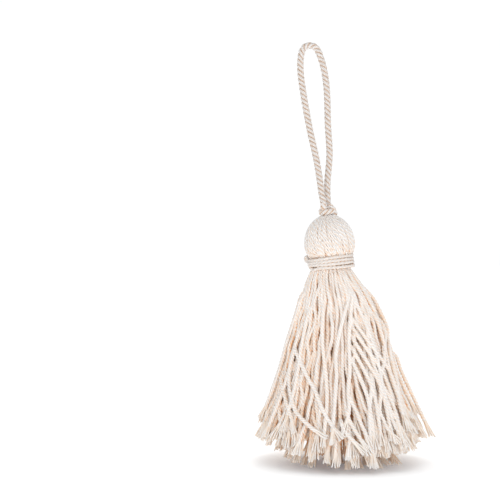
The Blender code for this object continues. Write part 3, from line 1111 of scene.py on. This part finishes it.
@dataclass(frozen=True)
class FrayedEnds:
    """How each cut end opens into the threads that it was twisted from.

    Flare is how far a tuft opens and length its length, both in mm from the least to the most, and
    a few open further by up to burst. The threads start at back, up the yarn, and leave it at start
    from its middle. Curl is how far they bend aside in mm, and lowest their centres' least height.
    """

    threads: int = 10
    steps: int = 7
    flare: tuple[float, float] = (0.45, 1.5)
    burst: float = 1.3
    length: tuple[float, float] = (3.8, 6.2)
    back: float = 2.6 * MM
    start: float = 0.52 * MM
    curl: float = 0.14
    radius: float = 0.38 * MM
    lowest: float = 0.32 * MM
    twist: Twist = Twist(2, 2, 0.12, 20.0 * MM, flank_shade=0.8)

    def routes(self, lines: Array, out: Array, rng: Random) -> Array:
        """Route the threads.

        Args:
            lines: The yarns' centre lines.
            out: The way that faces the open air at each yarn's end.
            rng: The source of what is uneven.

        Returns:
            The centre lines: one thread of every yarn, then the next of every yarn.
        """
        ends = lines[:, -1]
        k = len(ends)
        along = unit(ends - lines[:, -3])
        side = unit(np.cross(along, out))
        flare = (rng.uniform(*self.flare, (k, 1)) + self.burst * rng.random((k, 1)) ** 4) * MM
        length = rng.uniform(*self.length, (k, 1)) * MM
        down = np.linspace(0.0, 1.0, self.steps)
        paths = []
        for i in range(self.threads):
            middle = i == self.threads - 1
            angle = TAU * (i + rng.uniform(-0.3, 0.3, k)) / (self.threads - 1)
            share = np.full(k, 0.15) if middle else rng.uniform(0.65, 1.0, k)
            spread = out * np.cos(angle)[:, None] + side * np.sin(angle)[:, None]
            cut = length * rng.uniform(0.85, 1.0, (k, 1))
            curl = rng.normal(0.0, self.curl, (k, 3)) * MM
            rows = []
            for t in down:
                run = along * (cut * t - self.back * (1.0 - t))
                wide = self.start + flare * t**1.35
                rows.append(ends + run + spread * share[:, None] * wide + curl * math.sin(2.6 * t))
            path = np.stack(rows, axis=1)
            low = np.minimum(path[:, -1, 2] - 0.3 * MM, 0.0)
            path[..., 2] -= low[:, None] * down**1.2
            path[..., 2] = np.maximum(path[..., 2], self.lowest)
            paths.append(path)
        return np.concatenate(paths)

    def build(
        self, lines: Array, shade: Array, form: SkirtForm, rng: Random, finish: Material
    ) -> Object:
        """Make all the tufts as one mesh.

        Args:
            lines: The yarns' centre lines.
            shade: The painted shade at each yarn's end.
            form: The skirt's outline.
            rng: The source of what is uneven.
            finish: The material.

        Returns:
            The object.
        """
        paths = self.routes(lines, form.outward(lines[:, -1]), rng)
        radii = np.full(paths.shape[:2], self.radius) * np.linspace(1.1, 0.75, self.steps)
        # Painted shade: some of the yarn's own, and more at the roots of the threads, none at the
        # tips
        painted_shades = np.tile(shade, self.threads)[:, None] * 0.25
        painted_shades = painted_shades + 0.30 * np.linspace(1.0, 0.0, self.steps)
        mesh = FibreMesh("skirt_frayed_ends")
        tones = rng.random(len(paths))
        mesh.tubes(paths, radii, self.twist, tones, painted_shades, form.outward(paths))
        return mesh.piece(finish)


@dataclass(frozen=True)
class HeadLayer:
    """Yarns that run over the head, all sunk alike.

    Phase is the direction of the first, sunk how far below the outline they lie, skip how many
    points below the top they start, dive how far they dip there, and shade the painted shade they
    are given.
    """

    count: int
    phase: float = 0.0
    sunk: float = 0.0
    skip: int = 0
    dive: float = 0.0
    shade: float = 0.0


@dataclass(frozen=True)
class Head:
    """The ball of looped yarns that run over the top and into the neck, and what they cover.

    Profile is its outline as (radius, height) in mm from the top down, yarn a yarn's radius, and
    swirl how far the yarns turn aside on their way down.
    """

    profile: tuple[tuple[float, float], ...] = (
        (1.6, 107.2), (3.4, 106.9), (5.2, 106.0), (7.4, 104.3), (9.3, 101.8), (10.6, 98.6),
        (11.1, 95.2), (10.8, 92.6), (9.9, 90.6), (8.6, 89.0), (7.6, 87.0),
    )
    layers: tuple[HeadLayer, ...] = (
        HeadLayer(28),
        HeadLayer(28, math.pi / 28, 0.04 * MM, skip=9, dive=0.7 * MM),
        HeadLayer(46, 0.08, 0.55 * MM, skip=3, shade=0.15),
    )
    steps: int = 72
    yarn: float = 0.82 * MM
    swirl: float = 0.32
    twist: Twist = Twist(3, 4, 0.38, 6.6 * MM, flank_shade=0.9)

    def outline(self, steps: int) -> Array:
        """Read the outline as evenly spaced (radius, height)."""
        return smooth_through(np.array(self.profile) * MM, steps)

    def routes(self, layer: HeadLayer, rng: Random) -> tuple[Array, Array]:
        """Route a layer's yarns.

        Args:
            layer: The layer.
            rng: The source of what is uneven.

        Returns:
            The centre lines round an upright axis, and the way that faces the open air there.
        """
        shape = self.outline(self.steps)[layer.skip :]
        down = np.linspace(0.0, 1.0, len(shape))
        k = layer.count
        angles = TAU * (np.arange(k) + rng.uniform(-0.10, 0.10, k)) / k + layer.phase
        turn = angles[:, None] + self.swirl * down + rng.normal(0.0, 0.03, (k, 1)) * down
        turn = turn + 0.022 * np.sin(9.0 * down + rng.uniform(0, ANY_PHASE, (k, 1)))
        dive = eased(1.0 - down / 0.2) * layer.dive
        reach = shape[:, 0] - self.yarn - layer.sunk - dive
        reach = np.maximum(reach + rng.normal(0.0, 0.07, (k, 1)) * MM, 0.6 * MM)
        rise = np.broadcast_to(shape[:, 1], turn.shape) - layer.sunk * 0.5
        way = np.stack([np.cos(turn), np.sin(turn), np.zeros(turn.shape)], axis=-1)
        paths = np.stack([reach * way[..., 0], reach * way[..., 1], rise], axis=-1)
        slope = unit(np.gradient(paths, axis=1))
        return paths, unit(way - slope * (way * slope).sum(-1, keepdims=True))

    def core(self, finish: Material) -> Object:
        """Make the plain body under the yarns, given painted deep shade all over.

        Args:
            finish: The finish's material.

        Returns:
            The core.
        """
        levels = self.outline(24)
        still = np.zeros(len(levels))
        axis = np.stack([still, still, levels[:, 1] - 0.9 * MM], axis=1)
        radii = (levels[:, 0] - 1.6 * MM).clip(0.3 * MM)
        mesh = FibreMesh("head_core")
        plain = Twist(plies=36, points=1, groove=0.0, pitch=1.0)
        # The core is given painted shade all over
        mesh.tubes(leaning(axis)[None], radii[None], plain, np.array([0.5]), (still + 0.7)[None])
        return mesh.piece(finish)

    def build(self, finish: Material) -> list[Object]:
        """Make the yarns and the core.

        Args:
            finish: The finish's material.

        Returns:
            The yarns and the core.
        """
        rng = np.random.default_rng(21)
        mesh = FibreMesh("head_yarns")
        for layer in self.layers:
            paths, outward = self.routes(layer, rng)
            shape = paths.shape[:2]
            down = np.linspace(0.0, 1.0, shape[1])
            wide = np.full(shape, self.yarn) * np.interp(down, [0.0, 0.3, 1.0], [0.72, 1.0, 1.0])
            # Painted shade: the layer's own, and more towards the collar
            painted_shades = layer.shade + 0.42 * eased((down - 0.45) / 0.55) + np.zeros(shape)
            tones, starts = rng.random(layer.count), rng.uniform(0, ANY_PHASE, layer.count)
            mesh.tubes(leaning(paths), wide, self.twist, tones, painted_shades, leaning(outward), starts)
        return [mesh.piece(finish), self.core(finish)]


@dataclass(frozen=True)
class YarnHank:
    """The head's ball of looped yarns and the full skirt that they are cut into.

    The bands are the skirt's yarns from the outside inwards. They start at the top, are laid out at
    so many levels, and gather in so many locks. Waves are a yarn's slow waves, as (cycles, angle),
    and bends its short ones, as (cycles, mm). Yarn is a yarn's diameter.
    """

    form: SkirtForm = SkirtForm()
    head: Head = Head()
    bands: tuple[Band, ...] = (
        Band("skirt_yarns_outer", 96, (0.9, 1.7, 1.1, 1.5), 112, Twist(3, 4, 0.30, 4.5 * MM)),
        Band("skirt_yarns_under", 84, (1.9, 2.4, 2.1, 2.8), 84, Twist(3, 3, 0.28, 4.5 * MM)),
        Band("skirt_yarns_inner", 76, (6, 9, 5, 14, 7, 11, 19), 52, Twist(3, groove=0.24)),
    )
    strays: StrayYarns = StrayYarns()
    ends: FrayedEnds = FrayedEnds()
    levels: int = 36
    top: float = 88.0 * MM
    yarn: float = 1.92 * MM
    seed: int = 5
    locks: int = 30
    waves: tuple[tuple[float, float], ...] = ((0.7, 0.060), (1.6, 0.034), (3.1, 0.015))
    bends: tuple[tuple[float, float], ...] = ((4.5, 0.30), (8.5, 0.12))

    def feet(self, angles: Array, layers: Array, rng: Random) -> Array:
        """Choose the height of each yarn's cut end.

        Args:
            angles: The yarns' directions round the tassel.
            layers: How many yarns deep they hang.
            rng: The source of what is uneven.

        Returns:
            The heights; those deep inside stand on the ground.
        """
        front, sides, least, most, ground = 6.6, 7.4, -0.4, 18.0, 0.15
        rim = 1.0 - 0.85 * eased((layers - 2.5) / 9.0)
        level = front + sides * np.abs(np.cos(angles)) ** 1.8
        uneven = np.clip(rng.gamma(1.6, 3.2, len(angles)) + least, least, most)
        return np.maximum(rim * (level + uneven), ground) * MM

    def wander(self, angles: Array, down: Array, rng: Random) -> Array:
        """Turn each yarn aside by slow waves, in the locks that neighbours form.

        Args:
            angles: The yarns' directions round the tassel.
            down: The share of the way down at each level.
            rng: The source of what is uneven.

        Returns:
            The directions, k by levels.
        """
        k, locks = len(angles), self.locks
        lock = np.round(angles / TAU * locks + rng.uniform(-0.3, 0.3, k))
        nudge = rng.normal(0.0, 0.03, locks + 1)[lock.astype(int) % locks]
        centre = lock / locks * TAU + nudge
        turn = angles[:, None] + (centre - angles)[:, None] * (0.26 * eased(down * 1.3))
        for cycles, size in self.waves:
            phase = rng.uniform(0.0, TAU, (k, 1))
            amount = rng.normal(0.0, size, (k, 1))
            turn = turn + amount * np.sin(phase + TAU * cycles * down) * eased(down * 3.0)
        return turn

    def kinks(self, flat: Array, down: Array, rng: Random) -> Array:
        """Give the short, small bends that a yarn keeps from its winding.

        Args:
            flat: The yarns' paths, whose shape the bends take.
            down: How far down each point lies, from 0 to 1.
            rng: The source of the bends.

        Returns:
            How far each point moves sideways.
        """
        k = len(flat)
        moves = np.zeros_like(flat)
        for cycles, size in self.bends:
            phase = rng.uniform(0.0, TAU, (k, 1, 2))
            amount = rng.normal(0.0, size, (k, 1, 2)) * MM
            moves += amount * np.sin(phase + TAU * cycles * down[:, None])
        return moves * eased(down * 5.0)[:, None]

    def radius_at(self, heights: Array) -> Array:
        """Give a yarn's radius: squeezed in the neck, full below it."""
        return self.yarn / 2 * (0.76 + 0.24 * eased((85.0 * MM - heights) / (20.0 * MM)))

    def routes(self, rng: Random) -> tuple[Array, Array, Array]:
        """Route every yarn of the skirt.

        Args:
            rng: The source of what is uneven.

        Returns:
            The centre lines, k by levels by 3; the radii and the painted shade, k by levels.
        """
        angles, layers = [], []
        for band in self.bands:
            count = band.count
            angles.append(TAU * (np.arange(count) + rng.uniform(-0.2, 0.2, count)) / count)
            layers.append(np.resize(np.array(band.layers, dtype=float), count))
        angles, layers = np.concatenate(angles), np.concatenate(layers)
        down = np.linspace(0.0, 1.0, self.levels)
        feet = self.feet(angles, layers, rng)
        heights = self.top + (feet[:, None] - self.top) * down[None, :]
        turn = self.wander(angles, down, rng)
        half_width, half_depth, centre = self.form.at(heights)
        radius = self.radius_at(heights)
        reach = np.stack([half_width - radius, half_depth - radius], axis=-1)
        way = np.stack([np.cos(turn), np.sin(turn)], axis=-1)
        rank = layers[:, None] * radius * 1.7
        hang = np.maximum(1.0 - rank / reach.min(axis=-1), 0.06)
        flat = self.packed(way * reach * hang[..., None], hang, heights, reach)
        sunk = (1.0 - np.linalg.norm(flat / reach, axis=-1)) * reach.min(axis=-1)
        # Painted shade for the yarns that lie sunk inside the outline
        shade = 0.8 * eased((sunk - 0.8 * MM) / (6.0 * MM))
        flat = flat + self.kinks(flat, down, rng)
        x = flat[..., 0] + centre + self.form.offset[0] * eased(down * 2.0)
        y = flat[..., 1] + self.form.offset[1] * eased(down * 2.0)
        return np.stack([x, y, heights], axis=-1), radius, shade

    def packed(self, flat: Array, hang: Array, heights: Array, reach: Array) -> Array:
        """Push yarns that share a place apart, level by level, and keep them in the outline.

        Args:
            flat: The yarns' places across each level, k by levels by 2.
            hang: The share of the reach that each would hang at, k by levels.
            heights: Their heights, k by levels.
            reach: How far they may reach to the sides and to the front and back.

        Returns:
            The places after packing.
        """
        rounds, together, step, stiffness, pull = 70, 0.92, 0.36, 0.15, 0.06
        radius = self.radius_at(heights)
        wanted = (radius[:, None] + radius[None]) * together
        near = (np.abs(heights[:, None] - heights[None]) < 3.0 * MM).astype(float)
        near[np.arange(len(flat)), np.arange(len(flat))] = 0.0
        for _ in range(rounds):
            apart = flat[:, None] - flat[None]
            distance = np.maximum(np.linalg.norm(apart, axis=-1), 1e-6)
            push = np.clip(wanted - distance, 0.0, None) * near / distance
            flat = flat + (apart * push[..., None]).sum(axis=1) * step
            middle = (flat[:, :-2] + flat[:, 2:]) / 2
            flat[:, 1:-1] = flat[:, 1:-1] * (1.0 - stiffness) + middle * stiffness
            out = np.linalg.norm(flat / reach, axis=-1)
            settled = out + (hang - out) * pull
            flat = flat * (np.minimum(settled, 1.0) / np.maximum(out, 1e-6))[..., None]
        return flat

    def skirt(self, finish: Material, frayed: Material) -> list[Object]:
        """Make the skirt's yarns and their frayed ends, each of its own material.

        Args:
            finish: The yarns' material.
            frayed: The material of the frayed ends.

        Returns:
            The pieces, the frayed ends last.
        """
        rng = np.random.default_rng(self.seed)
        lines, radii, shade = self.routes(rng)
        stray = self.strays.routes(self.form, self.levels, self.yarn, rng)
        stray[..., :2] += self.form.offset
        lines = np.concatenate([lines, stray])
        radii = np.concatenate([radii, self.radius_at(stray[..., 2])])
        shade = np.concatenate([shade, np.zeros(stray.shape[:2])])
        groups = [(band.name, band.count, band.steps, band.twist) for band in self.bands]
        groups.append((self.strays.name, len(stray), self.strays.steps, self.strays.twist))
        pieces, first = [], 0
        for name, k, count, twist in groups:
            chosen = slice(first, first + k)
            first += k
            at, even = np.linspace(0.0, 1.0, self.levels), np.linspace(0.0, 1.0, count)
            paths = np.stack([smooth_through(line, count) for line in lines[chosen]])
            wide = np.stack([np.interp(even, at, row) for row in radii[chosen]])
            painted_shades = np.stack([np.interp(even, at, row) for row in shade[chosen]])
            wide = wide * (1.0 + 0.05 * np.sin(17.0 * even + rng.uniform(0, ANY_PHASE, (k, 1))))
            wide = wide * (1.0 - 0.3 * eased((even - 0.97) / 0.03))
            outward = self.form.outward(paths)
            behind = lines[chosen, self.levels // 2, 1] >= 0.0
            for side, own in (("front", ~behind), ("back", behind)):
                mesh = FibreMesh(f"{name}_{side}")
                number = int(own.sum())
                starts, tones = rng.uniform(0, ANY_PHASE, number), rng.random(number)
                mesh.tubes(paths[own], wide[own], twist, tones, painted_shades[own], outward[own], starts)
                pieces.append(mesh.piece(finish))
        pieces.append(self.ends.build(lines, shade[:, -1], self.form, rng, frayed))
        return pieces

    def build(self, looped: Material, finish: Material, frayed: Material) -> list[Object]:
        """Make the whole hank.

        Args:
            looped: The material of the head's yarns.
            finish: The material of the skirt's yarns.
            frayed: The material of their opened ends.

        Returns:
            Its pieces.
        """
        pieces = self.head.build(looped) + self.skirt(finish, frayed)
        for piece in pieces:
            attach(piece, "root")
            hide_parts("yarn_hank")
        return pieces


def report(pieces: Sequence[Object]) -> None:
    """Log each piece's name and how fine it is.

    Args:
        pieces: The pieces that were just made.
    """
    for piece in pieces:
        sides = sum(len(polygon.vertices) - 2 for polygon in piece.data.polygons)
        LOG.info("%s: %d triangles", piece.name, sides)


def main() -> None:
    """Build the tassel and the studio round it."""
    logging.basicConfig(level=logging.INFO, format="%(name)s: %(message)s")
    Camera().build()
    # All these finishes are the same undyed cotton; their lit colours are painted darker on the
    # cord, knot, neck and head yarns, and lighter on the frayed ends, for how the light falls on
    # each
    cord = CottonFinish(
        "laid_cotton_cord", (0.72, 0.69, 0.67), (0.66, 0.52, 0.42), (0.42, 0.30, 0.22),
        plies=7.0, furrow=0.08, spots=0.2, blush=0.0, fibres=14.0,
    )
    knotted = CottonFinish(
        "knotted_cotton_cord", (0.80, 0.77, 0.75), (0.80, 0.65, 0.54), (0.62, 0.45, 0.33),
        plies=7.0, furrow=0.05, spots=0.2, blush=0.0, fibres=14.0,
    )
    wound = CottonFinish(
        "wound_cotton_yarn", (0.775, 0.74, 0.715), (0.82, 0.64, 0.50), (0.62, 0.40, 0.26),
        furrow=0.25, blush=0.0, relief=0.04 * MM,
    )
    looped = CottonFinish(
        "looped_cotton_yarn", (0.86, 0.85, 0.845), (0.84, 0.735, 0.645), (0.74, 0.48, 0.32),
        furrow=0.8, spots=0.8, blush=0.0,
    )
    frayed = CottonFinish(
        "frayed_cotton_ends", (0.98, 0.965, 0.955), (0.98, 0.82, 0.67),
        plies=2.0, furrow=0.1, spots=0.1, blush=0.0,
    )
    loop = HangingLoop()
    report([loop.build(cord.material())])
    report([LoopKnot(loop).build(knotted.material())])
    report(NeckBinding().build(wound.material()))
    yarn = CottonFinish("plied_cotton_yarn")
    report(YarnHank().build(looped.material(), yarn.material(), frayed.material()))
    Studio().build()


if __name__ == "__main__":
    main()
